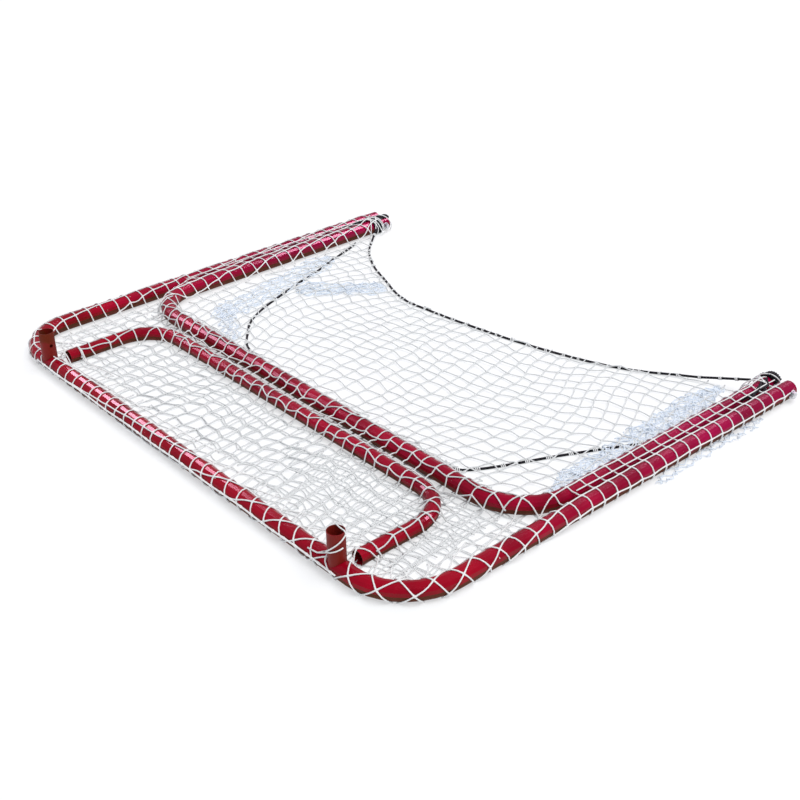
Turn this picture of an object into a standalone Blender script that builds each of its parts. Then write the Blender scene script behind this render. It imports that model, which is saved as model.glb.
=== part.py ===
"""A folding tubular hockey goal, lying folded flat with its mouth on the floor.

Metres, +Z up. +X runs along the crossbar, +Y from the crossbar to the feet of the posts.
The origin is on the floor, under the middle of the folded goal.
"""

import math

import bmesh
import bpy
from mathutils import Matrix, Vector

INCH = 0.0254
GAP = 0.0003

# Driving sizes: a 54 in by 44 in mouth in 1.5 in tube
MOUTH_WIDTH = 54 * INCH
MOUTH_HEIGHT = 44 * INCH
FRAME_R = 0.75 * INCH
FRAME_WALL = 0.0016
LACING_R = 0.0018

# Front frame, from the crossbar's centre line
POST_X = MOUTH_WIDTH / 2 + FRAME_R
POST_LENGTH = MOUTH_HEIGHT + FRAME_R
POST_BEND = 0.130
LACING_OUT = FRAME_R + 0.003
CROSSBAR_Y = -(POST_LENGTH - LACING_OUT - LACING_R) / 2
FOOT_Y = CROSSBAR_Y + POST_LENGTH

# Base frame, which lies between the posts
POST_TO_ARM = 0.0060
ARM_X = POST_X - 2 * FRAME_R - POST_TO_ARM
BASE_BAR_Y = CROSSBAR_Y + 0.343
BASE_BEND = 0.126
HINGE_Y = FOOT_Y - FRAME_R

# Top frame, which lies loose between the crossbar and the base bar
TOP_R = 0.625 * INCH
TOP_WALL = 0.0014
TOP_X = 0.5370
TOP_BAR_Y = CROSSBAR_Y + 0.285
TOP_END_Y = CROSSBAR_Y + 0.0455
TOP_BEND = 0.099

# Sockets that take the top frame's arms
SOCKET_R = 0.6875 * INCH
SOCKET_WALL = 0.00125
SOCKET_TOP = 0.0988
SOCKET_HOLE_DROP = 0.0310
SOCKET_HOLE_R = 0.0042

# Snap buttons near the ends of the top frame's arms
BUTTON_BACK = 0.0250
BUTTON_R = 0.0035
BUTTON_OUT = 0.0048
BUTTON_HOLE_R = 0.0039

# Hinge bolts
BOLT_R = 0.00475
BOLT_HOLE_R = 0.0052
BOLT_HEAD_FLATS = 0.0143
BOLT_HEAD_THICK = 0.0060
NUT_THICK = 0.0080
WASHER_R = 0.0105
WASHER_THICK = 0.0015
SPACER_R = 0.0095
THREAD_PAST_NUT = 0.0030

# Ropes, lashings and netting
ROPE_R = 0.00275
LASHING_LENGTH = 0.030
LASHING_Y = FOOT_Y - 0.060
NET_THICK = 0.0015
NET_BACK_Z = 0.0085

TUBE_BEVEL = 6
BEND_STEPS = 9


def clear_scene():
    for thing in list(bpy.data.objects):
        bpy.data.objects.remove(thing, do_unlink=True)


def new_collection(name, hidden=False):
    made = bpy.data.collections.new(name)
    bpy.context.scene.collection.children.link(made)
    made.hide_render = hidden
    return made


def paint(name, colour, roughness, metallic=0.0):
    made = bpy.data.materials.new(name)
    made.use_nodes = True
    shader = made.node_tree.nodes["Principled BSDF"]
    shader.inputs["Base Color"].default_value = (*colour, 1.0)
    shader.inputs["Roughness"].default_value = roughness
    shader.inputs["Metallic"].default_value = metallic
    made.diffuse_color = (*colour, 1.0)
    return made


def add_object(name, data, material, collection):
    made = bpy.data.objects.new(name, data)
    made.data.materials.append(material)
    collection.objects.link(made)
    return made


def mesh_object(name, shape, material, collection):
    """An object from a bmesh, its faces all pointing out."""
    bmesh.ops.recalc_face_normals(shape, faces=shape.faces)
    data = bpy.data.meshes.new(name)
    shape.to_mesh(data)
    shape.free()
    return add_object(name, data, material, collection)


def poly_curve(name, points, radius, bevel, caps):
    data = bpy.data.curves.new(name, "CURVE")
    data.dimensions = "3D"
    data.bevel_depth = radius
    data.bevel_resolution = bevel
    data.use_fill_caps = caps
    spline = data.splines.new("POLY")
    spline.points.add(len(points) - 1)
    for slot, point in zip(spline.points, points):
        slot.co = (*point, 1.0)
    return data


def u_path(half_width, bar_y, end_y, bend, z):
    """A U in a flat plane: an arm, a bend, the bar, a bend and the other arm."""
    toward = 1.0 if end_y > bar_y else -1.0
    right = []
    for step in range(BEND_STEPS + 1):
        turn = math.radians(90) * step / BEND_STEPS
        x = half_width - bend + bend * math.sin(turn)
        y = bar_y + toward * (bend - bend * math.cos(turn))
        right.append(Vector((x, y, z)))
    right.append(Vector((half_width, end_y, z)))
    left = [Vector((-point.x, point.y, point.z)) for point in reversed(right)]
    return left + right


def bent_tube(name, path, radius, wall, material, collection):
    """An open-ended tube: the swept outer skin, thickened inwards."""
    curve = poly_curve(name + "_path", path, radius, TUBE_BEVEL, False)
    guide = bpy.data.objects.new(name + "_path", curve)
    collection.objects.link(guide)
    bpy.context.view_layer.update()
    graph = bpy.context.evaluated_depsgraph_get()
    data = bpy.data.meshes.new_from_object(guide.evaluated_get(graph))
    data.name = name
    bpy.data.objects.remove(guide, do_unlink=True)
    made = add_object(name, data, material, collection)
    thicken = made.modifiers.new("wall", "SOLIDIFY")
    thicken.thickness = wall
    thicken.offset = -1.0
    thicken.use_even_offset = True
    return made


def cylinder_shape(radius, low, high, axis="Z", sides=32, hole=0.0):
    """A bmesh cylinder or ring between two places on an axis through the origin."""
    shape = bmesh.new()
    rims = []
    for place in (low, high):
        outer = bmesh.ops.create_circle(shape, segments=sides, radius=radius)["verts"]
        inner = []
        if hole:
            inner = bmesh.ops.create_circle(shape, segments=sides, radius=hole)["verts"]
        bmesh.ops.translate(shape, verts=outer + inner, vec=(0, 0, place))
        rims.append((outer, inner))
    for around in (0, 1):
        low_ring, high_ring = rims[0][around], rims[1][around]
        for i in range(len(low_ring)):
            j = (i + 1) % len(low_ring)
            shape.faces.new((low_ring[i], low_ring[j], high_ring[j], high_ring[i]))
    for outer, inner in rims:
        if not hole:
            shape.faces.new(outer)
            continue
        for i in range(sides):
            j = (i + 1) % sides
            shape.faces.new((outer[i], outer[j], inner[j], inner[i]))
    if axis == "X":
        bmesh.ops.rotate(shape, verts=shape.verts, matrix=Matrix.Rotation(math.pi / 2, 3, "Y"))
    if axis == "Y":
        bmesh.ops.rotate(shape, verts=shape.verts, matrix=Matrix.Rotation(-math.pi / 2, 3, "X"))
    return shape


def moved(shape, place):
    bmesh.ops.translate(shape, verts=shape.verts, vec=place)
    return shape


def cut(target, cutter):
    """Cuts one helper from an object and keeps the helper as a hidden wire."""
    cutter.display_type = "WIRE"
    cutter.hide_render = True
    boolean = target.modifiers.new("cut_" + cutter.name, "BOOLEAN")
    boolean.operation = "DIFFERENCE"
    boolean.solver = "EXACT"
    boolean.object = cutter


def bolt_hole_cutter(name, side, material, cutters):
    low = ARM_X - 2 * FRAME_R
    high = POST_X + 2 * FRAME_R
    shape = cylinder_shape(BOLT_HOLE_R, low, high, "X", 20)
    if side < 0:
        bmesh.ops.rotate(shape, verts=shape.verts, matrix=Matrix.Rotation(math.pi, 3, "Z"))
    return mesh_object(name, moved(shape, (0, HINGE_Y, FRAME_R)), material, cutters)


def x_span(side, low, high):
    """Two places on X, in order, mirrored to the left for side -1."""
    return (low, high) if side > 0 else (-high, -low)


def build_front_frame(parts, cutters, red):
    path = u_path(POST_X, CROSSBAR_Y, FOOT_Y, POST_BEND, FRAME_R)
    frame = bent_tube("front_frame", path, FRAME_R, FRAME_WALL, red, parts)
    for word, side in (("left", -1), ("right", 1)):
        cut(frame, bolt_hole_cutter("post_hole_" + word, side, red, cutters))
    return frame


def build_base_frame(parts, cutters, red):
    path = u_path(ARM_X, BASE_BAR_Y, FOOT_Y, BASE_BEND, FRAME_R)
    frame = bent_tube("base_frame", path, FRAME_R, FRAME_WALL, red, parts)
    for word, side in (("left", -1), ("right", 1)):
        cut(frame, bolt_hole_cutter("arm_hole_" + word, side, red, cutters))
    return frame


def build_top_frame(parts, cutters, red):
    path = u_path(TOP_X, TOP_BAR_Y, TOP_END_Y, TOP_BEND, TOP_R)
    frame = bent_tube("top_frame", path, TOP_R, TOP_WALL, red, parts)
    for word, side in (("left", -1), ("right", 1)):
        low, high = x_span(side, TOP_X - 2 * TOP_R, TOP_X - 0.5 * TOP_R)
        shape = cylinder_shape(BUTTON_HOLE_R, low, high, "X", 16)
        moved(shape, (0, TOP_END_Y + BUTTON_BACK, TOP_R))
        cut(frame, mesh_object("button_hole_" + word, shape, red, cutters))
    return frame


def build_socket(word, side, parts, cutters, red):
    """An upright tube, coped over the crossbar, with a hole for the snap button."""
    shape = cylinder_shape(SOCKET_R, FRAME_R, SOCKET_TOP, "Z", 28, SOCKET_R - SOCKET_WALL)
    moved(shape, (side * TOP_X, CROSSBAR_Y, 0))
    socket = mesh_object("socket_" + word, shape, red, parts)
    saddle = cylinder_shape(FRAME_R + GAP, TOP_X - 0.05, TOP_X + 0.05, "X", 48)
    if side < 0:
        bmesh.ops.rotate(saddle, verts=saddle.verts, matrix=Matrix.Rotation(math.pi, 3, "Z"))
    moved(saddle, (0, CROSSBAR_Y, FRAME_R))
    cut(socket, mesh_object("saddle_" + word, saddle, red, cutters))
    low, high = x_span(side, TOP_X - 2 * SOCKET_R, TOP_X - 0.4 * SOCKET_R)
    hole = cylinder_shape(SOCKET_HOLE_R, low, high, "X", 16)
    moved(hole, (0, CROSSBAR_Y, SOCKET_TOP - SOCKET_HOLE_DROP))
    cut(socket, mesh_object("socket_hole_" + word, hole, red, cutters))


def build_hinge(word, side, parts, zinc):
    """The bolt through post and arm, its washers, the spacer between the tubes and its nut."""
    at = (0, HINGE_Y, FRAME_R)
    outside = POST_X + FRAME_R + GAP
    inside = ARM_X - FRAME_R - GAP
    nut_high = inside - WASHER_THICK - GAP
    nut_low = nut_high - NUT_THICK
    hex_r = BOLT_HEAD_FLATS / 2 / math.cos(math.radians(30))

    low, high = x_span(side, outside, outside + WASHER_THICK)
    ring = cylinder_shape(WASHER_R, low, high, "X", 24, BOLT_HOLE_R)
    mesh_object("hinge_washer_outer_" + word, moved(ring, at), zinc, parts)

    low, high = x_span(side, POST_X - FRAME_R - POST_TO_ARM + GAP, POST_X - FRAME_R - GAP)
    ring = cylinder_shape(SPACER_R, low, high, "X", 24, BOLT_HOLE_R)
    mesh_object("hinge_spacer_" + word, moved(ring, at), zinc, parts)

    low, high = x_span(side, inside - WASHER_THICK, inside)
    ring = cylinder_shape(WASHER_R, low, high, "X", 24, BOLT_HOLE_R)
    mesh_object("hinge_washer_inner_" + word, moved(ring, at), zinc, parts)

    low, high = x_span(side, nut_low, nut_high)
    nut = cylinder_shape(hex_r, low, high, "X", 6, 0.0)
    nut_object = mesh_object("hinge_nut_" + word, moved(nut, at), zinc, parts)

    head_low = outside + WASHER_THICK + GAP
    low, high = x_span(side, nut_low - THREAD_PAST_NUT, head_low + BOLT_HEAD_THICK / 2)
    shank = cylinder_shape(BOLT_R, low, high, "X", 20)
    bolt = mesh_object("hinge_bolt_" + word, moved(shank, at), zinc, parts)
    low, high = x_span(side, head_low, head_low + BOLT_HEAD_THICK)
    head = cylinder_shape(hex_r, low, high, "X", 6)
    return nut_object, bolt, moved(head, at)


def join_head(bolt, head_shape, word, zinc, cutters):
    head = mesh_object("bolt_head_" + word, head_shape, zinc, cutters)
    head.display_type = "WIRE"
    head.hide_render = True
    join = bolt.modifiers.new("head", "BOOLEAN")
    join.operation = "UNION"
    join.solver = "EXACT"
    join.object = head


def bore_nut(nut, word, side, zinc, cutters):
    low, high = x_span(side, ARM_X - FRAME_R - 0.02, ARM_X - FRAME_R + 0.01)
    shape = cylinder_shape(BOLT_HOLE_R, low, high, "X", 20)
    moved(shape, (0, HINGE_Y, FRAME_R))
    cut(nut, mesh_object("nut_bore_" + word, shape, zinc, cutters))


def build_snap(word, side, parts, zinc):
    """A button in the arm's hole, and the bent leaf spring behind it, inside the arm."""
    y = TOP_END_Y + BUTTON_BACK
    tip = TOP_X - TOP_R - BUTTON_OUT
    root = TOP_X - TOP_R + TOP_WALL + 0.0030
    low, high = x_span(side, tip, root)
    shank = cylinder_shape(BUTTON_R, low, high, "X", 20)
    mesh_object("snap_button_" + word, moved(shank, (0, y, TOP_R)), zinc, parts)

    leaf_x = TOP_X - 0.0010
    wall_x = TOP_X + TOP_R - TOP_WALL - 0.0025
    fold_y = y + 0.045
    path = [
        Vector((side * leaf_x, y - 0.006, TOP_R)),
        Vector((side * leaf_x, y + 0.012, TOP_R)),
        Vector((side * (wall_x + leaf_x) / 2, fold_y - 0.004, TOP_R)),
        Vector((side * (wall_x - 0.0012), fold_y, TOP_R)),
        Vector((side * wall_x, fold_y - 0.006, TOP_R)),
        Vector((side * wall_x, y + 0.004, TOP_R)),
    ]
    curve = poly_curve("snap_spring_" + word, path, 0.0008, 2, True)
    add_object("snap_spring_" + word, curve, zinc, parts)


def sagging_edge(half_width, end_y, sag, steps):
    """Points along an arc from left to right that dips towards the base bar."""
    radius = (half_width**2 + sag**2) / (2 * sag)
    swing = math.asin(half_width / radius)
    points = []
    for step in range(steps + 1):
        turn = swing * (2 * step / steps - 1)
        y = end_y - sag + radius - radius * math.cos(turn)
        points.append(Vector((radius * math.sin(turn), y, 0)))
    return points


def sheet(name, outline, z, material, collection):
    """A thin closed solid over a flat outline."""
    shape = bmesh.new()
    corners = [shape.verts.new((point.x, point.y, z)) for point in outline]
    face = shape.faces.new(corners)
    lifted = bmesh.ops.extrude_face_region(shape, geom=[face])["geom"]
    top = [item for item in lifted if isinstance(item, bmesh.types.BMVert)]
    bmesh.ops.translate(shape, verts=top, vec=(0, 0, NET_THICK))
    return mesh_object(name, shape, material, collection)


def build_netting(parts, white):
    low = Vector((-TOP_X + 0.030, CROSSBAR_Y + 0.034, 0))
    high = Vector((TOP_X - 0.030, TOP_BAR_Y + TOP_R, 0))
    outline = [low, Vector((high.x, low.y, 0)), high, Vector((low.x, high.y, 0))]
    sheet("net_top_panel", outline, 2 * TOP_R + GAP, white, parts)

    inner = ARM_X - FRAME_R - 0.004
    front = BASE_BAR_Y + FRAME_R + 0.004
    corner = BASE_BEND - FRAME_R
    edge = sagging_edge(inner - 0.035, CROSSBAR_Y + 0.985, 0.150, 16)
    outline = list(reversed(edge))
    for end in (-1, 1):
        turns = range(BEND_STEPS + 1)
        arc = []
        for step in turns:
            turn = math.radians(90) * step / BEND_STEPS
            x = inner - corner + corner * math.cos(turn)
            y = front + corner - corner * math.sin(turn)
            arc.append(Vector((end * x, y, 0)))
        if end > 0:
            arc.reverse()
        outline += arc
    sheet("net_back_panel", outline, NET_BACK_Z, white, parts)

    lacing_y = CROSSBAR_Y - LACING_OUT
    ends = [Vector((x, lacing_y, FRAME_R + 0.004)) for x in (-0.560, 0.560)]
    curve = poly_curve("net_lacing", ends, LACING_R, 2, True)
    add_object("net_lacing", curve, white, parts)


def from_crossbar(points):
    return [Vector((x, CROSSBAR_Y + y, z)) for x, y, z in points]


def smooth_route(points, steps):
    """A Catmull-Rom curve through hand-chosen points."""
    ends = [2 * points[0] - points[1], *points, 2 * points[-1] - points[-2]]
    route = []
    for i in range(1, len(ends) - 2):
        a, b, c, d = ends[i - 1 : i + 3]
        for step in range(steps):
            t = step / steps
            route.append(
                0.5 * (2 * b + (c - a) * t + (2 * a - 5 * b + 4 * c - d) * t**2)
                + 0.5 * (3 * b - a - 3 * c + d) * t**3
            )
    route.append(points[-1])
    return route


UPPER_ROPE = [
    (0.6418, 1.0780, 0.0380),
    (0.6065, 1.0745, 0.0270),
    (0.5594, 1.0575, 0.0175),
    (0.5275, 1.0449, 0.0115),
    (0.4789, 1.0254, 0.0058),
    (0.4170, 0.9878, 0.0036),
    (0.3463, 0.9530, 0.0033),
    (0.2370, 0.9170, 0.0032),
    (0.0980, 0.8850, 0.0032),
    (-0.0686, 0.8606, 0.0032),
    (-0.1780, 0.8500, 0.0032),
    (-0.2357, 0.8470, 0.0032),
    (-0.2977, 0.8600, 0.0032),
    (-0.3693, 0.8884, 0.0032),
    (-0.4706, 0.9298, 0.0032),
    (-0.5540, 0.9836, 0.0040),
    (-0.6050, 1.0400, 0.0120),
    (-0.6340, 1.0780, 0.0210),
]
LOWER_ROPE_LEFT = [
    (-0.6340, 0.9980, 0.0034),
    (-0.6156, 0.9700, 0.0034),
    (-0.5878, 0.8926, 0.0033),
    (-0.5541, 0.8081, 0.0032),
    (-0.5099, 0.6800, 0.0032),
    (-0.4678, 0.5711, 0.0032),
    (-0.4370, 0.5110, 0.0032),
    (-0.4060, 0.4720, 0.0032),
    (-0.3600, 0.4330, 0.0032),
    (-0.3200, 0.4040, 0.0032),
    (-0.2720, 0.3860, 0.0032),
]
LOWER_ROPE_RIGHT = [
    (0.4000, 0.3800, 0.0032),
    (0.4400, 0.4000, 0.0032),
    (0.4800, 0.4650, 0.0032),
    (0.5300, 0.5730, 0.0032),
    (0.5850, 0.6800, 0.0032),
    (0.6300, 0.7600, 0.0032),
]


def build_ropes(parts, cutters, black):
    routes = {
        "rope_upper": UPPER_ROPE,
        "rope_lower_left": LOWER_ROPE_LEFT,
        "rope_lower_right": LOWER_ROPE_RIGHT,
    }
    for name, points in routes.items():
        route = smooth_route(from_crossbar(points), 4)
        add_object(name, poly_curve(name, route, ROPE_R, 2, True), black, parts)
    for word, side in (("left", -1), ("right", 1)):
        low = LASHING_Y - LASHING_LENGTH / 2
        high = LASHING_Y + LASHING_LENGTH / 2
        ring = cylinder_shape(FRAME_R + 0.0053, low, high, "Y", 28, FRAME_R + GAP)
        moved(ring, (side * ARM_X, 0, FRAME_R))
        lashing = mesh_object("rope_lashing_" + word, ring, black, parts)
        block = bmesh.new()
        bmesh.ops.create_cube(block, size=0.1)
        moved(block, (side * ARM_X, LASHING_Y, -0.0496))
        cut(lashing, mesh_object("floor_cut_" + word, block, black, cutters))


def set_origin(name, place):
    """Moves an object's origin without moving its shape."""
    thing = bpy.data.objects[name]
    shift = Matrix.Translation(-Vector(place))
    thing.data.transform(shift)
    thing.location = place


def main():
    clear_scene()
    parts = new_collection("hockey_goal")
    cutters = new_collection("cutters", hidden=True)
    red = paint("red_paint", (0.52, 0.012, 0.05), 0.22)
    zinc = paint("zinc_steel", (0.62, 0.63, 0.64), 0.35, 1.0)
    black = paint("black_rope", (0.012, 0.012, 0.014), 0.8)
    white = paint("white_netting", (0.82, 0.84, 0.86), 0.7)
    build_front_frame(parts, cutters, red)
    build_base_frame(parts, cutters, red)
    build_top_frame(parts, cutters, red)
    for word, side in (("left", -1), ("right", 1)):
        build_socket(word, side, parts, cutters, red)
        nut, bolt, head = build_hinge(word, side, parts, zinc)
        join_head(bolt, head, word, zinc, cutters)
        bore_nut(nut, word, side, zinc, cutters)
        build_snap(word, side, parts, zinc)
    build_netting(parts, white)
    build_ropes(parts, cutters, black)
    set_origin("base_frame", (0, HINGE_Y, FRAME_R))


main()
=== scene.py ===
"""The looks of a folding hockey goal that lies folded flat under its netting.

Metres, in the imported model's own frame: +X runs along the crossbar, +Y from the crossbar to the
feet of the posts, and +Z up from the floor at 0.
"""

import math

import bpy
import numpy as np
from mathutils import Matrix, Vector


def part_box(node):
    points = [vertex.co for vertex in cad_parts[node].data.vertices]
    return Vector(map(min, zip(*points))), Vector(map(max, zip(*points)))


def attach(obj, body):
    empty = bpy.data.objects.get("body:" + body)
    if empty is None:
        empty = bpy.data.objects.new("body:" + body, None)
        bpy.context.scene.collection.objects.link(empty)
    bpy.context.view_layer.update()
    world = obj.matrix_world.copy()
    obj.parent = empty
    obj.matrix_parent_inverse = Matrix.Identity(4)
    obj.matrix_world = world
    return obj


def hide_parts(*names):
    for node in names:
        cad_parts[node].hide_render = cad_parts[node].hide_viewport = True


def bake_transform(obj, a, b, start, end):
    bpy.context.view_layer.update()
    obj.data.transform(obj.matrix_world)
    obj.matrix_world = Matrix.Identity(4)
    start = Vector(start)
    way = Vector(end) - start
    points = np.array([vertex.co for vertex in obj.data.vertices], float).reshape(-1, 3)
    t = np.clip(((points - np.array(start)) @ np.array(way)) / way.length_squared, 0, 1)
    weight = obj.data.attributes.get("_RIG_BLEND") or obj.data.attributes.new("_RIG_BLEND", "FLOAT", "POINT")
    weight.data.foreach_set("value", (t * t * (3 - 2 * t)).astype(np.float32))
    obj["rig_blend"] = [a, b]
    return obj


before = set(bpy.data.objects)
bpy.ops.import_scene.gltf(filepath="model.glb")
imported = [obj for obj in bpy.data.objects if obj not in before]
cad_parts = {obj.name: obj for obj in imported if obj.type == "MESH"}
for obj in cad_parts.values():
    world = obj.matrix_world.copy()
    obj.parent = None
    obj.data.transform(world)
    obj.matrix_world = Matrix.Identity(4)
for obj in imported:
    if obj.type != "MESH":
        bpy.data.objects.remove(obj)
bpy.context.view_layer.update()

# The frame's own sizes
front_low, front_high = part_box("front_frame")
base_low, base_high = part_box("base_frame")
top_low, top_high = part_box("top_frame")
socket_low, socket_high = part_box("socket_right")
lacing_low, lacing_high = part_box("net_lacing")
lashing_low, lashing_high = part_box("rope_lashing_right")
washer_low, washer_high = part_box("hinge_washer_inner_right")
FRAME_R = front_high.z / 2
TOP_R = top_high.z / 2
POST_X = front_high.x - FRAME_R
CROSSBAR_Y = front_low.y + FRAME_R
FOOT_Y = front_high.y
ARM_X = base_high.x - FRAME_R
BASE_BAR_Y = base_low.y + FRAME_R
ARM_END_Y = base_high.y
TOP_X = top_high.x - TOP_R
TOP_BAR_Y = top_high.y - TOP_R
TOP_END_Y = top_low.y
SOCKET_X = (socket_low.x + socket_high.x) / 2
SOCKET_R = (socket_high.x - socket_low.x) / 2
SOCKET_TOP = socket_high.z
LASHING_Y = (lashing_low.y + lashing_high.y) / 2
LASHING_LENGTH = lashing_high.y - lashing_low.y
HINGE_Y_LOW = washer_low.y - 0.0005
POST_BEND = 0.130
BASE_BEND = 0.126
TOP_BEND = 0.099

# Twine and rope. A bar is the twine from one knot to the next, drawn through the points at
# KNOT_SHARES of its length, and KNOT_SWELL is how thick it is there.
MESH_BAR = 0.0345
TWINE_R = 0.0015
FINE_TWINE_R = 0.00127
ROPE_R = 0.00275
SHEET_SIDES = 5
KNOT_SHARES = (0.0, 0.12, 0.37, 0.63, 0.88)
KNOT_SWELL = (1.5, 1.1, 1.0, 1.0, 1.1)
UP = (0.0, 0.0, 1.0)

# How the netting lies: its centre line's distance to a tube, how steeply it leaves one, and its
# height over the floor. ZIGZAG is the share of a bar by which knots are set off, to and fro by turns.
NET_TO_TUBE = TWINE_R + 0.0002
STEEP = math.radians(62)
COVER_LOW = 0.0042
ZIGZAG = 0.115

# Where the mesh is turned: the middle's x and y, and the share of the turn
TWISTS = ((0.42, 0.28, 1.0), (-0.42, 0.28, -1.15))
TWIST_REACH = 0.30

# The strip round the front frame: its reach to either side of the tube's top, and where a row of
# knots crosses the top of the crossbar and of the right-hand post, as a share of a mesh
STRIP_INNER = 0.082
STRIP_OUTER = 0.0540
ROW_ON_CROSSBAR = 0.40
ROW_ON_POST = 0.22

# The ropes' routes, as x, y from the crossbar, and z
UPPER_ROPE = [
    (0.6418, 1.0780, 0.0380),
    (0.6065, 1.0745, 0.0270),
    (0.5594, 1.0575, 0.0175),
    (0.5275, 1.0449, 0.0115),
    (0.4789, 1.0254, 0.0058),
    (0.4170, 0.9878, 0.0036),
    (0.3463, 0.9530, 0.0033),
    (0.2370, 0.9170, 0.0032),
    (0.0980, 0.8850, 0.0032),
    (-0.0686, 0.8606, 0.0032),
    (-0.1780, 0.8500, 0.0032),
    (-0.2357, 0.8470, 0.0032),
    (-0.2977, 0.8600, 0.0032),
    (-0.3693, 0.8884, 0.0032),
    (-0.4706, 0.9298, 0.0032),
    (-0.5540, 0.9836, 0.0040),
    (-0.6050, 1.0400, 0.0120),
    (-0.6340, 1.0780, 0.0210),
]
LOWER_ROPE_LEFT = [
    (-0.6340, 0.9980, 0.0034),
    (-0.6156, 0.9700, 0.0034),
    (-0.5878, 0.8926, 0.0033),
    (-0.5541, 0.8081, 0.0032),
    (-0.5099, 0.6800, 0.0032),
    (-0.4678, 0.5711, 0.0032),
    (-0.4370, 0.5110, 0.0032),
    (-0.4060, 0.4720, 0.0032),
    (-0.3600, 0.4330, 0.0032),
    (-0.3200, 0.4040, 0.0032),
    (-0.2720, 0.3860, 0.0032),
]
LOWER_ROPE_RIGHT = [
    (0.4000, 0.3800, 0.0032),
    (0.4400, 0.4000, 0.0032),
    (0.4800, 0.4650, 0.0032),
    (0.5300, 0.5730, 0.0032),
    (0.5850, 0.6800, 0.0032),
    (0.6300, 0.7600, 0.0032),
]


# ---------------------------------------------------------------- camera, light and floor


def add_camera():
    """Stands to the right of the crossbar's near end and looks down across the goal."""
    pan, tilt, roll = -0.8657, 0.5149, -0.0237
    place = Vector((2.0150, CROSSBAR_Y - 1.1028, 1.3989))
    forward = Vector((math.sin(pan) * math.cos(tilt), math.cos(pan) * math.cos(tilt), -math.sin(tilt)))
    level = Vector((math.cos(pan), -math.sin(pan), 0))
    above = level.cross(forward)
    right = level * math.cos(roll) + above * math.sin(roll)
    up = above * math.cos(roll) - level * math.sin(roll)
    data = bpy.data.cameras.new("camera")
    data.sensor_width = 36.0
    data.lens = 57.563
    camera = bpy.data.objects.new("camera", data)
    turned = Matrix((right, up, -forward)).transposed().to_4x4()
    camera.matrix_world = Matrix.Translation(place) @ turned
    bpy.context.scene.collection.objects.link(camera)
    bpy.context.scene.camera = camera


def add_panel(name, toward, level, size, power):
    """A panel six metres off that shows only in reflections, as a streak on the paint."""
    data = bpy.data.lights.new(name, "AREA")
    data.shape = "RECTANGLE"
    data.size, data.size_y = size
    data.energy = power
    data.color = (1.0, 0.74, 0.90)
    light = bpy.data.objects.new(name, data)
    away = Vector(toward).normalized()
    climb = away.cross(Vector(level)).normalized()
    turned = Matrix((climb.cross(away), climb, away)).transposed().to_4x4()
    light.matrix_world = Matrix.Translation(6 * away) @ turned
    light.visible_diffuse = False
    bpy.context.scene.collection.objects.link(light)


def add_studio():
    world = bpy.data.worlds.new("studio")
    world.use_nodes = True
    background = world.node_tree.nodes["Background"]
    background.inputs["Color"].default_value = (0.86, 0.93, 1.0, 1.0)
    background.inputs["Strength"].default_value = 0.46
    bpy.context.scene.world = world
    bpy.context.scene.view_settings.view_transform = "Standard"
    sun = bpy.data.lights.new("window", "SUN")
    sun.energy = 2.3
    sun.angle = math.radians(55)
    sun.color = (1.0, 0.98, 0.95)
    window = bpy.data.objects.new("window", sun)
    window.rotation_euler = Vector((0.40, 0.12, 1.0)).to_track_quat("Z", "Y").to_euler()
    window.visible_glossy = False
    bpy.context.scene.collection.objects.link(window)
    add_panel("panel_behind", (0.10, 0.66, 0.74), (1, 0, 0), (2.4, 2.0), 520)
    add_panel("panel_beside", (-0.79, -0.06, 0.61), (0, 1, 0), (2.6, 1.5), 260)

    bpy.ops.mesh.primitive_plane_add(size=60, location=(0, 0, 0))
    floor = bpy.context.object
    floor.name = "floor"
    floor.data.materials.append(floor_material())


# ---------------------------------------------------------------- materials


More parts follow.
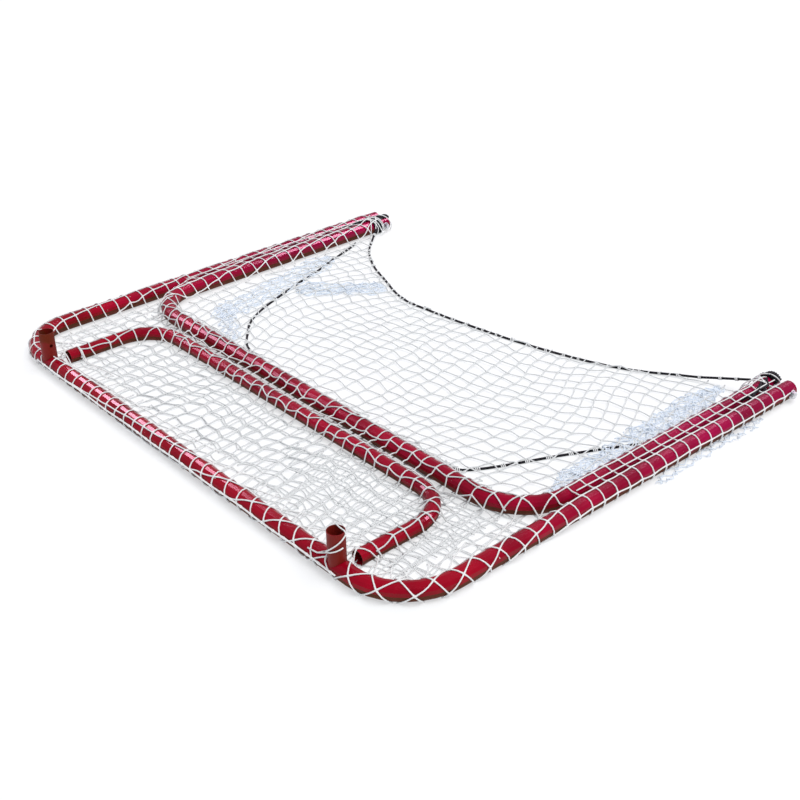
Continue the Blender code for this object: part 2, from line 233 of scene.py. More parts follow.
class Nodes:
    """Short calls for building one material's nodes."""

    def __init__(self, name):
        self.material = bpy.data.materials.new(name)
        self.material.use_nodes = True
        self.tree = self.material.node_tree
        self.shader = self.tree.nodes["Principled BSDF"]
        self.coordinates = self.add("ShaderNodeTexCoord")

    def add(self, kind, **settings):
        node = self.tree.nodes.new(kind)
        for key, value in settings.items():
            setattr(node, key, value)
        return node

    def link(self, source, target):
        self.tree.links.new(source, target)

    def noise(self, scale, detail, source="Object"):
        node = self.add("ShaderNodeTexNoise")
        node.inputs["Scale"].default_value = scale
        node.inputs["Detail"].default_value = detail
        self.link(self.coordinates.outputs[source], node.inputs["Vector"])
        return node.outputs["Fac"]

    def spread(self, source, low, high, new_low=0.0, new_high=1.0):
        """Maps low..high of a value onto new_low..new_high."""
        node = self.add("ShaderNodeMapRange")
        node.inputs["From Min"].default_value = low
        node.inputs["From Max"].default_value = high
        node.inputs["To Min"].default_value = new_low
        node.inputs["To Max"].default_value = new_high
        self.link(source, node.inputs["Value"])
        return node.outputs["Result"]

    def mix(self, share, first, second):
        """Mixes two colours, each a socket or three numbers."""
        node = self.add("ShaderNodeMix", data_type="RGBA")
        self.link(share, node.inputs["Factor"])
        for slot, colour in (("A", first), ("B", second)):
            socket = [s for s in node.inputs if s.name == slot and s.type == "RGBA"][0]
            if isinstance(colour, tuple):
                socket.default_value = (*colour, 1.0)
            else:
                self.link(colour, socket)
        return [s for s in node.outputs if s.type == "RGBA"][0]

    def combine(self, operation, first, second):
        node = self.add("ShaderNodeMath", operation=operation)
        for slot, value in zip(node.inputs, (first, second)):
            if isinstance(value, float):
                slot.default_value = value
            else:
                self.link(value, slot)
        return node.outputs["Value"]

    def part(self, source, axis):
        node = self.add("ShaderNodeSeparateXYZ")
        self.link(source, node.inputs["Vector"])
        return node.outputs[axis]

    def bump(self, height, strength, distance):
        node = self.add("ShaderNodeBump")
        node.inputs["Strength"].default_value = strength
        node.inputs["Distance"].default_value = distance
        self.link(height, node.inputs["Height"])
        self.link(node.outputs["Normal"], self.shader.inputs["Normal"])

    def into(self, source, name):
        self.link(source, self.shader.inputs[name])

    def fix(self, **values):
        for name, value in values.items():
            self.shader.inputs[name.replace("_", " ")].default_value = value


def red_paint(name="red_paint", soiled=0.0, shade_and_dirt_colour=(0.088, 0.026, 0.008)):
    """Glossy red, crimson towards the rear, with chips. Faces turned down get painted brown shade, and it
    has brown grime where soiled.
    """
    made = Nodes(name)
    rearward = made.spread(made.part(made.coordinates.outputs["Object"], "Y"), -0.40, 0.30)
    cloud = made.spread(made.noise(9.0, 3.0), 0.35, 0.65)
    near = made.mix(cloud, (0.230, 0.0010, 0.009), (0.380, 0.0018, 0.016))
    far = made.mix(cloud, (0.215, 0.0007, 0.028), (0.350, 0.0010, 0.054))
    chips = made.spread(made.noise(130.0, 4.0), 0.735, 0.765)
    paint = made.mix(chips, made.mix(rearward, near, far), (0.70, 0.60, 0.58))
    # Painted shade: the paint turns brown on faces turned down, standing in for the shade under the tubes.
    facing = made.part(made.coordinates.outputs["Normal"], "Z")
    below = made.spread(facing, 0.32, -0.18)
    spots = made.spread(made.noise(24.0, 5.0), 0.15, 0.55, 0.75, 1.0)
    under = made.combine("MULTIPLY", below, spots)
    # Real grime in patches where soiled; it shares the brown colour with the painted shade below.
    patches = made.spread(made.noise(14.0, 3.0), 0.60, 0.42, 0.0, soiled)
    shade_and_dirt = made.combine("MAXIMUM", under, patches)
    made.into(made.mix(shade_and_dirt, paint, shade_and_dirt_colour), "Base Color")
    polish = made.spread(made.noise(42.0, 5.0), 0.3, 0.7, 0.13, 0.17)
    made.into(made.combine("MAXIMUM", polish, made.combine("MULTIPLY", shade_and_dirt, 0.75)), "Roughness")
    made.bump(made.noise(30.0, 2.0), 0.012, 0.002)
    made.fix(Specular_IOR_Level=0.22, Specular_Tint=(1.0, 0.50, 0.68, 1.0))
    return made.material


def zinc_steel():
    made = Nodes("zinc_steel")
    cloud = made.spread(made.noise(160.0, 4.0), 0.35, 0.65)
    made.into(made.mix(cloud, (0.50, 0.50, 0.52), (0.74, 0.75, 0.77)), "Base Color")
    made.into(made.spread(made.noise(260.0, 3.0), 0.3, 0.7, 0.26, 0.46), "Roughness")
    made.bump(made.noise(420.0, 2.0), 0.12, 0.0005)
    made.fix(Metallic=1.0)
    return made.material


def braided(name, dark, light, radius, roughness, sheen, gloss):
    """Strands plaited round a cord: two families of turns that cross, from the lengthwise UVs."""
    made = Nodes(name)
    along = made.part(made.coordinates.outputs["UV"], "X")
    around = made.part(made.coordinates.outputs["UV"], "Y")
    turns = made.combine("MULTIPLY", along, 1.0 / (radius * 3.2))
    crossing = []
    for way in (1.0, -1.0):
        lean = made.combine("ADD", turns, made.combine("MULTIPLY", around, 3.0 * way))
        wave = made.combine("SINE", made.combine("MULTIPLY", lean, 2 * math.pi), 0.0)
        crossing.append(wave)
    plait = made.combine("MAXIMUM", *crossing)
    worn = made.spread(made.noise(38.0, 4.0), 0.3, 0.7)
    shade = made.mix(made.spread(plait, -0.6, 1.0), dark, light)
    soiled = made.mix(worn, tuple(0.90 * channel for channel in dark), light)
    patches = made.spread(made.noise(11.0, 2.0), 0.45, 0.75, 0.0, 0.6)
    made.into(made.mix(patches, shade, soiled), "Base Color")
    made.bump(plait, 0.55, radius * 0.35)
    made.fix(Roughness=roughness, Sheen_Weight=sheen, Sheen_Roughness=0.5, Specular_IOR_Level=gloss)
    return made.material


def floor_material():
    """White paper, lit from behind a little so that shadows on it stay pale."""
    made = Nodes("floor_paper")
    cloud = made.spread(made.noise(1.7, 3.0), 0.3, 0.7)
    made.into(made.mix(cloud, (0.43, 0.435, 0.44), (0.46, 0.46, 0.465)), "Base Color")
    made.fix(Roughness=0.9, Emission_Color=(0.97, 0.985, 1.0, 1.0), Emission_Strength=0.54)
    return made.material


def finish_frame(red, soiled_red, zinc):
    """Gives every shown solid of the frame its material."""
    for name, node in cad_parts.items():
        metal = name.startswith(("hinge_", "snap_"))
        node.data.materials.clear()
        node.data.materials.append(zinc if metal else soiled_red if name.startswith("socket_") else red)
        for face in node.data.polygons:
            face.use_smooth = True
        node.data.set_sharp_from_angle(angle=math.radians(38))


# ---------------------------------------------------------------- round strands as one mesh


def strand_mesh(name, runs, radius, sides, material):
    """One object holding round strands. A run is (points, surface normals, swellings)."""
    points = np.concatenate([run[0] for run in runs])
    normals = np.concatenate([run[1] for run in runs])
    swell = np.concatenate([run[2] for run in runs])
    counts = np.array([len(run[0]) for run in runs])
    firsts = np.concatenate([[0], np.cumsum(counts)[:-1]])
    lasts = firsts + counts - 1

    ahead = np.minimum(np.arange(len(points)) + 1, np.repeat(lasts, counts))
    behind = np.maximum(np.arange(len(points)) - 1, np.repeat(firsts, counts))
    tangent = points[ahead] - points[behind]
    tangent /= np.linalg.norm(tangent, axis=1, keepdims=True) + 1e-12
    side = np.cross(tangent, normals)
    side /= np.linalg.norm(side, axis=1, keepdims=True) + 1e-12
    up = np.cross(side, tangent)

    turn = np.arange(sides) * 2 * math.pi / sides
    ring = np.cos(turn)[None, :, None] * side[:, None] + np.sin(turn)[None, :, None] * up[:, None]
    corners = (points[:, None] + ring * (radius * swell)[:, None, None]).reshape(-1, 3)

    starts = np.setdiff1d(np.arange(len(points)), lasts)
    here = starts[:, None] * sides + np.arange(sides)
    after = starts[:, None] * sides + (np.arange(sides) + 1) % sides
    quads = np.stack([here, here + sides, after + sides, after], axis=2).reshape(-1, 4)
    caps = np.concatenate(
        [firsts[:, None] * sides + np.arange(sides), lasts[:, None] * sides + np.arange(sides)[::-1]]
    )
    loops = np.concatenate([quads.ravel(), caps.ravel()])
    quad_loops = np.arange(len(quads)) * 4
    cap_loops = len(quads) * 4 + np.arange(len(caps)) * sides

    step = np.linalg.norm(points - points[behind], axis=1)
    along = np.cumsum(step)
    low_v, high_v = np.arange(sides) / sides, (np.arange(sides) + 1) / sides
    u0 = np.repeat(along[starts][:, None], sides, 1)
    u1 = np.repeat(along[starts + 1][:, None], sides, 1)
    v0, v1 = np.broadcast_to(low_v, u0.shape), np.broadcast_to(high_v, u0.shape)
    quad_uv = np.stack([u0, v0, u1, v0, u1, v1, u0, v1], axis=2).reshape(-1, 2)
    uv = np.concatenate([quad_uv, np.zeros((caps.size, 2))])

    mesh = bpy.data.meshes.new(name)
    mesh.vertices.add(len(corners))
    mesh.vertices.foreach_set("co", corners.astype(np.float32).ravel())
    mesh.loops.add(len(loops))
    mesh.loops.foreach_set("vertex_index", loops.astype(np.int32))
    mesh.polygons.add(len(quads) + len(caps))
    mesh.polygons.foreach_set("loop_start", np.concatenate([quad_loops, cap_loops]).astype(np.int32))
    mesh.update(calc_edges=True)
    layer = mesh.uv_layers.new(name="lengthwise")
    layer.data.foreach_set("uv", uv.astype(np.float32).ravel())
    mesh.validate()
    mesh.shade_smooth()
    mesh.materials.append(material)
    made = bpy.data.objects.new(name, mesh)
    bpy.context.scene.collection.objects.link(made)
    return made


def plain_run(points):
    """A run along these points, with its surface normal straight up."""
    points = np.array(points, float)
    return points, np.tile(UP, (len(points), 1)), np.ones(len(points))


# ---------------------------------------------------------------- the shapes under the netting


def u_path(half_width, bar_y, end_y, bend, steps=14):
    """A flat U from the left arm's end, along the bar, to the right arm's end."""
    toward = 1.0 if end_y > bar_y else -1.0
    turn = np.linspace(0, math.pi / 2, steps)
    x = half_width - bend + bend * np.sin(turn)
    y = bar_y + toward * (bend - bend * np.cos(turn))
    right = np.concatenate([np.stack([x, y], axis=1), [[half_width, end_y]]])
    return np.concatenate([right[::-1] * (-1, 1), right])


def smooth_route(points, steps):
    """A Catmull-Rom curve through given points, measured from the crossbar."""
    points = [Vector((x, CROSSBAR_Y + y, z)) for x, y, z in points]
    ends = [2 * points[0] - points[1], *points, 2 * points[-1] - points[-2]]
    route = []
    for i in range(1, len(ends) - 2):
        a, b, c, d = ends[i - 1 : i + 3]
        for step in range(steps):
            t = step / steps
            route.append(
                0.5 * (2 * b + (c - a) * t + (2 * a - 5 * b + 4 * c - d) * t**2)
                + 0.5 * (3 * b - a - 3 * c + d) * t**3
            )
    route.append(points[-1])
    return route


def distance_to(x, y, path):
    """Each point's distance to a flat polyline."""
    nearest = np.full(x.shape, 1e9)
    for (ax, ay), (bx, by) in zip(path[:-1], path[1:]):
        dx, dy = bx - ax, by - ay
        share = np.clip(((x - ax) * dx + (y - ay) * dy) / (dx * dx + dy * dy), 0, 1)
        nearest = np.minimum(nearest, np.hypot(x - ax - share * dx, y - ay - share * dy))
    return nearest


FRONT_PATH = u_path(POST_X, CROSSBAR_Y, FOOT_Y, POST_BEND)
BASE_PATH = u_path(ARM_X, BASE_BAR_Y, ARM_END_Y, BASE_BEND)
TOP_PATH = u_path(TOP_X, TOP_BAR_Y, TOP_END_Y, TOP_BEND)
ROPE_ROUTES = {
    "rope_upper": smooth_route(UPPER_ROPE, 6),
    "rope_lower_left": smooth_route(LOWER_ROPE_LEFT, 6),
    "rope_lower_right": smooth_route(LOWER_ROPE_RIGHT, 6),
}

# What the netting lies over, as (flat path, height of its centre, radius). The last three hold up the
# netting that spans from tube to tube: beside each post, and between the top and base frames' bars.
BESIDE_POST = (POST_X + ARM_X) / 2
SPAN_SAG = 0.0030
OBSTACLES = [
    (FRONT_PATH, FRAME_R, FRAME_R),
    (BASE_PATH, FRAME_R, FRAME_R),
    (TOP_PATH, TOP_R, TOP_R),
]
OBSTACLES += [
    (np.array([point[:2] for point in route[::2]]), ROPE_R + 0.0006, ROPE_R)
    for route in ROPE_ROUTES.values()
]
for way in (-1, 1):
    lashed = np.array([(way * ARM_X, LASHING_Y + end * LASHING_LENGTH / 2) for end in (-1, 1)])
    OBSTACLES.append((lashed, FRAME_R, FRAME_R + 2 * ROPE_R))
for way in (-1, 1):
    beside = np.array([(way * BESIDE_POST, y) for y in (BASE_BAR_Y + BASE_BEND, ARM_END_Y)])
    OBSTACLES.append((beside, FRAME_R - SPAN_SAG, FRAME_R))
bars_gap = np.array([(way * (TOP_X - TOP_BEND), (TOP_BAR_Y + BASE_BAR_Y) / 2) for way in (-1, 1)])
OBSTACLES.append((bars_gap, TOP_R - 0.0045, TOP_R - 0.001))


def waves(seed, count, longest, shortest):
    """A smooth uneven field over the floor, about -1 to 1, the same on every run."""
    draw = np.random.default_rng(seed)
    heading = draw.uniform(0, 2 * math.pi, count)
    length = np.exp(draw.uniform(math.log(shortest), math.log(longest), count))
    phase = draw.uniform(0, 2 * math.pi, count)
    gain = (length / longest) ** 0.5
    gain /= math.sqrt((gain**2).sum() / 2)

    def field(x, y):
        total = np.zeros(np.shape(x))
        for angle, size, start, share in zip(heading, length, phase, gain):
            forward = x * math.cos(angle) + y * math.sin(angle)
            total += share * np.sin(2 * math.pi * forward / size + start)
        return total * 0.5

    return field


FLOOR_UNEVEN = waves(11, 14, 0.30, 0.05)


def drape(x, y, lowest=COVER_LOW, rise=0.0022):
    """Height of the netting's twine over the tubes and ropes, and over the floor between them."""
    height = lowest + rise * np.clip(FLOOR_UNEVEN(x, y) + 0.4, 0, 2)
    softness = 0.0016
    for path, centre, radius in OBSTACLES:
        away = distance_to(x, y, path)
        reach = radius + NET_TO_TUBE
        leaves = reach * math.sin(STEEP)
        crown = np.sqrt(np.maximum(reach**2 - np.minimum(away, leaves) ** 2, 0))
        over = centre + crown - np.maximum(away - leaves, 0) * math.tan(STEEP)
        gap = np.clip((over - height) / softness, -30, 30)
        height = height + softness * np.log1p(np.exp(gap))
    return height


# ---------------------------------------------------------------- netting


def net_runs(knots, place, inside, bow, seed, whole=None):
    """Strands of both families through a grid of knots, placed by place and kept where inside.

    Where whole is given, a strand reaches one point over an edge that is still in the whole net.
    """
    draw = np.random.default_rng(seed)
    shares = np.array(KNOT_SHARES)
    runs = []
    for grid in (knots, knots.transpose(1, 0, 2)):
        here, after = grid[:, :-1], grid[:, 1:]
        bar = after - here
        sideways = np.stack([-bar[..., 1], bar[..., 0]], axis=-1)
        sideways /= np.linalg.norm(sideways, axis=-1, keepdims=True) + 1e-12
        lean = draw.normal(0, bow, here.shape[:2])
        mids = (
            here[:, :, None] * (1 - shares)[:, None]
            + after[:, :, None] * shares[:, None]
            + sideways[:, :, None] * (lean[:, :, None] * np.sin(np.pi * shares))[..., None]
        )
        swell = np.tile(np.array(KNOT_SWELL), here.shape[1])
        for line in mids.reshape(len(grid), -1, 2):
            kept = inside(line[:, 0], line[:, 1])
            edges = np.flatnonzero(np.diff(np.concatenate([[0], kept.astype(int), [0]])))
            more = whole(line[:, 0], line[:, 1]) if whole else np.zeros(len(line), bool)
            for first, last in edges.reshape(-1, 2):
                if last < len(line) and more[last]:
                    last += 1
                if last - first < 2:
                    continue
                points, normals = place(line[first:last])
                runs.append((points, normals, swell[first:last]))
    return runs


def taken_up(x):
    """Where on the floor each length of netting lands at this x, as (length, y), counted from the rear."""
    y = np.linspace(CROSSBAR_Y - 0.10, FOOT_Y + 0.10, 5000)
    z = drape(np.full(y.shape, x), y, rise=0.0)
    length = np.concatenate([[0], np.cumsum(np.hypot(np.diff(y), np.diff(z)))])
    return length - length[-1] + y[-1], y


def over_bars(knots):
    """Draws knots towards the bars, by as much netting as the climb over each bar takes up.

    Near the ends, outside the top frame, it takes up less, so the two amounts are mixed by x.
    """
    share = np.clip((np.abs(knots[..., 0]) - 0.43) / 0.12, 0, 1)
    share = share * share * (3 - 2 * share)
    middle = np.interp(knots[..., 1], *taken_up(0.0))
    ends = np.interp(knots[..., 1], *taken_up(0.58))
    knots[..., 1] = middle * (1 - share) + ends * share
    return knots


def mesh_grid(middle, across, bar, lean, shift, seed, twist=0.0, jitter=0.0013):
    """Knots of a slack square mesh over a floor area, zigzagged, twisted and pulled about by waves."""
    count = int(across / bar) + 2
    steps = np.arange(-count, count + 1)
    first = np.array((math.cos(lean), math.sin(lean))) * bar
    second = np.array((-math.sin(lean), math.cos(lean))) * bar
    zigzag = ZIGZAG * (1 - 2 * ((steps[:, None] + steps[None, :]) % 2))
    knots = np.array(middle) + steps[:, None, None] * first
    knots = knots + (steps[None, :] + zigzag)[..., None] * second
    x, y = knots[..., 0].copy(), knots[..., 1].copy()
    for centre_x, centre_y, share in TWISTS:
        away_x, away_y = knots[..., 0] - centre_x, knots[..., 1] - centre_y
        angle = share * twist * np.exp(-(away_x**2 + away_y**2) / TWIST_REACH**2)
        knots[..., 0] = centre_x + away_x * np.cos(angle) - away_y * np.sin(angle)
        knots[..., 1] = centre_y + away_x * np.sin(angle) + away_y * np.cos(angle)
    for axis in (0, 1):
        knots[..., axis] += shift * waves(seed + axis, 9, 0.80, 0.30)(x, y)
        knots[..., axis] += 0.0040 * waves(seed + 5 + axis, 12, 0.22, 0.07)(x, y)
    knots += np.random.default_rng(seed + 2).normal(0, jitter, knots.shape)
    return knots


def on_floor(lowest=COVER_LOW, rise=0.0022):
    def place(line):
        points = np.column_stack([line, drape(line[:, 0], line[:, 1], lowest, rise)])
        return points, np.tile(UP, (len(points), 1))

    return place


class PathFrame:
    """Places along the front frame's centre line: a point and the direction out of the goal."""

    def __init__(self, path):
        steps = np.linalg.norm(np.diff(path, axis=0), axis=1)
        corners = np.concatenate([[0], np.cumsum(steps)])
        self.length = corners[-1]
        self.at = np.linspace(0, self.length, 900)
        self.points = np.column_stack([np.interp(self.at, corners, path[:, i]) for i in (0, 1)])
        tangent = np.gradient(self.points, axis=0)
        spread = np.ones(25) / 25
        tangent = np.column_stack(
            [np.convolve(np.pad(tangent[:, i], 12, mode="edge"), spread, "valid") for i in (0, 1)]
        )
        tangent /= np.linalg.norm(tangent, axis=1, keepdims=True)
        self.outward = np.column_stack([tangent[:, 1], -tangent[:, 0]])

    def look_up(self, s):
        point = np.column_stack([np.interp(s, self.at, self.points[:, i]) for i in (0, 1)])
        outward = np.column_stack([np.interp(s, self.at, self.outward[:, i]) for i in (0, 1)])
        return point, outward / np.linalg.norm(outward, axis=1, keepdims=True)


front_line = PathFrame(FRONT_PATH)


def clear_of_sockets(along, across):
    """Pushes strip points round the foot of each upright socket, along the crossbar's surface."""
    reach = FRAME_R + NET_TO_TUBE
    clear = SOCKET_R + TWINE_R + 0.0008
    down_front = reach * math.asin(clear / reach)
    for way in (-1, 1):
        socket = front_line.length / 2 + way * SOCKET_X
        wide = np.where(across < 0, down_front, clear)
        away, beside = (along - socket) / clear, across / wide
        share = np.hypot(away, beside) + 1e-9
        pushed = np.where(share < 1.5, 1 + 0.5 * (share / 1.5) ** 3, share) / share
        along, across = socket + away * pushed * clear, beside * pushed * wide
    return along, across


def around_front(line):
    """Places strip points (along the frame, across it): outside, on the tube; inside, draped."""
    along, across = clear_of_sockets(line[:, 0], line[:, 1])
    reach = FRAME_R + NET_TO_TUBE
    centre, outward = front_line.look_up(along)
    turn = np.maximum(-across, 0) / reach
    out = np.where(across < 0, reach * np.sin(turn), -across)
    xy = centre + outward * out[:, None]
    height = np.where(across < 0, FRAME_R + reach * np.cos(turn), drape(xy[:, 0], xy[:, 1]))
    height = np.maximum(height, TWINE_R + 0.0002)
    normals = np.column_stack([outward * np.sin(turn)[:, None], np.cos(turn)])
    return np.column_stack([xy, height]), normals


def strip_grid(lean_at, bar_at):
    """Knots of the strip that wraps the front frame, its mesh turning as lean_at says.

    Lengths run from the left post's foot. The crossbar's row is set at 1.5 m and the right-hand
    post's at 3.1 m, with what is missing made up from 2.0 to 2.7 m. Along the left post the rows
    are squeezed together, which ends on the bend.
    """
    fine = np.linspace(-0.3, front_line.length + 0.3, 4000)
    lean = np.interp(fine, *zip(*lean_at))
    size = np.interp(fine, *zip(*bar_at)) / np.cos(lean)
    step = fine[1] - fine[0]
    crossings = np.cumsum(step / size)
    drift = np.cumsum(np.tan(lean) * step / size)
    drift += ROW_ON_CROSSBAR - np.interp(1.5, fine, drift)
    over = np.clip((fine - 2.0) / 0.7, 0, 1)
    missing = ROW_ON_POST - np.interp(3.1, fine, drift)
    drift += (missing - round(missing)) * over * over * (3 - 2 * over)
    across = np.arange(-11 - int(drift.max()), 12)
    along = np.arange(0, int(crossings.max()) + 40)
    k, m = np.meshgrid(across, along, indexing="ij")
    s = np.interp(m, crossings, fine)
    for _ in range(60):
        share = k + np.interp(s, fine, drift)
        target = m - np.clip(share, -8, 8) * np.tan(np.interp(s, fine, lean))
        s = 0.5 * s + 0.5 * np.interp(target, crossings, fine)
    share = k + np.interp(s, fine, drift)
    squeezed = np.interp(s, (0.0, 0.85, 1.25), (0.60, 0.60, 1.0))
    return np.stack([s, squeezed * np.interp(s, fine, size) * share], axis=-1)


def keep_strands_round(piece, share=None):
    """Gives all corners of one ring round a strand the same share of the blend, so that no strand widens."""
    layer = piece.data.attributes["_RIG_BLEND"]
    if share is None:
        share = np.zeros(len(piece.data.vertices), np.float32)
        layer.data.foreach_get("value", share)
    rings = share.reshape(-1, SHEET_SIDES).mean(axis=1)
    layer.data.foreach_set("value", np.repeat(rings, SHEET_SIDES).astype(np.float32))


def front_share(piece):
    """Sets how far each point turns with the base frame: none on the front frame, all on the base."""
    corners = np.array([corner.co for corner in piece.data.vertices])
    x, y = corners[:, 0], corners[:, 1]
    from_front = np.maximum(distance_to(x, y, FRONT_PATH) - FRAME_R - 0.004, 0)
    from_base = np.maximum(distance_to(x, y, BASE_PATH) - FRAME_R - 0.002, 0)
    share = from_front / (from_front + from_base + 1e-6)
    inside_base = (np.abs(x) < ARM_X) & (y > BASE_BAR_Y) & (from_base < from_front)
    share[inside_base] = 1.0
    keep_strands_round(piece, share * share * (3 - 2 * share))


def blend_to_base(piece):
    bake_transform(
        piece, "front_frame", "base_frame", start=(0, CROSSBAR_Y, FRAME_R), end=(0, BASE_BAR_Y, FRAME_R)
    )
    front_share(piece)


def rear_edge(x):
    """Where the netting ends on the upper rope, at each x."""
    route = np.array(ROPE_ROUTES["rope_upper"])[::-1]
    return np.interp(x, route[:, 0], route[:, 1])


BOTH_FRAMES = ["front_frame", "base_frame"]
BAY_SPLIT_Y = (TOP_BAR_Y + TOP_R + BASE_BAR_Y - FRAME_R) / 2
BAR_NET_X = POST_X - STRIP_INNER
NET_FRONT_Y = CROSSBAR_Y + STRIP_INNER - 0.012
TOP_NET_X = TOP_X + TOP_R + 0.014


def cover_area(x, y):
    return (np.abs(x) < BAR_NET_X) & (y > NET_FRONT_Y) & (y < rear_edge(x) + 0.0045)


def top_area(x, y):
    return cover_area(x, y) & (np.abs(x) < TOP_NET_X) & (y < TOP_BAR_Y)


def between_area(x, y):
    return cover_area(x, y) & (np.abs(x) < TOP_NET_X) & (y >= TOP_BAR_Y) & (y < BASE_BAR_Y)


def back_area(x, y):
    return cover_area(x, y) & (y >= BAY_SPLIT_Y) & ~between_area(x, y)


def corner_area(x, y):
    return cover_area(x, y) & (np.abs(x) >= TOP_NET_X) & (y < BAY_SPLIT_Y)


def strip_area(s, across):
    foot = 0.020
    kept = (s > foot) & (s < front_line.length - foot)
    return kept & (across > -STRIP_OUTER) & (across < STRIP_INNER)


def make_sheet(name, runs, twine, radius=TWINE_R):
    """A piece of netting: its strands made into one mesh, in the given twine.
    """
    piece = strand_mesh(name, runs, radius, SHEET_SIDES, twine)
    return piece


# How far the strip's mesh leans, in radians, and the size of its bar, at each length along the frame
STRIP_LEAN = (
    (0.0, 0.34), (0.5, 0.26), (0.9, 0.12), (1.2, 0.06), (1.75, 0.06), (2.05, 0.40),
    (2.35, 0.66), (2.6, 0.58), (2.78, 0.24), (2.92, 0.0), (3.6, 0.0),
)
STRIP_BAR = ((0.0, 0.0365), (1.8, 0.0365), (2.3, 0.042), (2.6, 0.042), (2.9, 0.0365), (3.6, 0.0365))


def add_frame_net(twine):
    """The strip of netting wound round the front frame, with a strand beside each post."""
    strip = strip_grid(STRIP_LEAN, STRIP_BAR)
    uneven = np.random.default_rng(5).normal(0, 0.0011, strip.shape)
    strip = strip + uneven
    runs = net_runs(strip, around_front, strip_area, 0.0009, 6)
    for way in (-1, 1):
        y = np.linspace(BASE_BAR_Y + BASE_BEND, LASHING_Y + 0.035, 90)
        x = way * (BESIDE_POST + 0.0022 * np.sin(y * 9.0))
        runs.append(plain_run(np.column_stack([x, y, drape(x, y) + 2.2 * TWINE_R])))
    piece = make_sheet("net_frame", runs, twine)
    blend_to_base(piece)


def add_cover(twine):
    """The uppermost netting: one mesh, cut into the pieces that move apart."""
    grid = mesh_grid((0.0, 0.0), 1.05, MESH_BAR, math.radians(4), 0.016, 21, twist=math.radians(24))
    grid = over_bars(grid)

    def cut(name, area, width, rests_on):
        runs = net_runs(grid, on_floor(), area, 0.0012, 31, cover_area)
        return make_sheet(name, runs, twine)

    back = cut("net_back", back_area, 1.25, ["base_frame"])
    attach(back, "base_frame")
    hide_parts("net_back_panel")

    top = cut("net_top", top_area, 1.13, ["top_frame"])
    start, end = (0, NET_FRONT_Y, 0), (0, TOP_END_Y + 0.050, 0)
    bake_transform(top, "net_lacing", "top_frame", start=start, end=end)
    keep_strands_round(top)
    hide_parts("net_top_panel")

    between = cut("net_between", between_area, 1.13, BOTH_FRAMES)
    start, end = (0, TOP_BAR_Y + 0.010, 0), (0, BASE_BAR_Y - 0.010, 0)
    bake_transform(between, "front_frame", "base_frame", start=start, end=end)
    keep_strands_round(between)

    corners = cut("net_corners", corner_area, 0.11, BOTH_FRAMES)
    blend_to_base(corners)


def add_under_layers(twine):
    """The slack layers that lie on the floor in the bay between the crossbar and the base bar."""

    def bay(x, y):
        inner = POST_X - FRAME_R - 0.012
        past_bend = np.maximum(np.abs(x) - POST_X + POST_BEND, 0)
        bend = np.hypot(past_bend, np.minimum(y - CROSSBAR_Y - POST_BEND, 0))
        kept = (np.abs(x) < inner) & (y > CROSSBAR_Y + FRAME_R + 0.012) & (y < BASE_BAR_Y + 0.060)
        return kept & (bend < POST_BEND - FRAME_R - 0.010)

    def near_end(x, y):
        return bay(x, y) & (x > 0.18 + 0.10 * FLOOR_UNEVEN(y, x))

    for layer, area, lean, shift, width in ((1, bay, 5.5, 0.016, 1.36), (2, near_end, 15, 0.020, 0.50)):
        lowest = 0.0020 + 0.0004 * layer
        middle = (MESH_BAR * 0.5 * layer, MESH_BAR * 0.42 * layer)
        grid = mesh_grid(middle, 1.05, MESH_BAR, math.radians(lean), shift, 21)
        runs = net_runs(grid, flat_on_floor(lowest, 0.0010), area, 0.0016, 44 + layer)
        piece = make_sheet(f"net_under_{layer}", runs, twine)
        blend_to_base(piece)


def flat_on_floor(lowest, rise):
    """Lies on the floor only, as a layer that the tubes rest on or beside."""

    def place(line):
        x, y = line[:, 0], line[:, 1]
        height = lowest + rise * np.clip(FLOOR_UNEVEN(y, x) + 0.5, 0, 2)
        points = np.column_stack([line, height])
        return points, np.tile(UP, (len(points), 1))

    return place


def add_bunch(name, body, start, end, width, gathered, seed, high, twine):
    """Netting pushed together along a line on the floor, in uneven upright folds."""
    start, end = np.array(start), np.array(end)
    length = np.linalg.norm(end - start)
    ahead = (end - start) / length
    beside = np.array((-ahead[1], ahead[0]))
    flat = width * gathered
    folds = gathered * 2.2
    swing, rise = waves(seed, 8, 0.20, 0.05), waves(seed + 3, 8, 0.16, 0.04)

    def place(line):
        q, p = line[:, 0], line[:, 1]
        turn = 2 * math.pi * folds * p / flat + 2.2 * swing(q, 0.3 * p)
        narrow = np.clip(6 * np.minimum(q, length - q) / length + 0.25, 0, 1)
        aside = (p / flat - 0.5) * width * narrow + 0.005 * np.sin(turn) + 0.005 * swing(q + 3, p)
        along = q + 0.004 * swing(p, q + 7)
        fold = (0.5 + 0.5 * np.cos(turn)) * np.clip(0.6 + 0.5 * rise(q, p), 0.1, 1.2)
        xy = start + along[:, None] * ahead + aside[:, None] * beside
        points = np.column_stack([xy, 0.0024 + high * narrow * fold])
        return points, np.tile(UP, (len(points), 1))

    def cut(q, p):
        return (q > 0) & (q < length) & (p > 0) & (p < flat)

    middle = (length / 2, flat / 2)
    grid = mesh_grid(middle, max(length, flat), MESH_BAR, math.radians(38), 0.004, seed + 9)
    runs = net_runs(grid, place, cut, 0.0010, seed + 20)
    piece = make_sheet(name, runs, twine, FINE_TWINE_R)
    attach(piece, body)


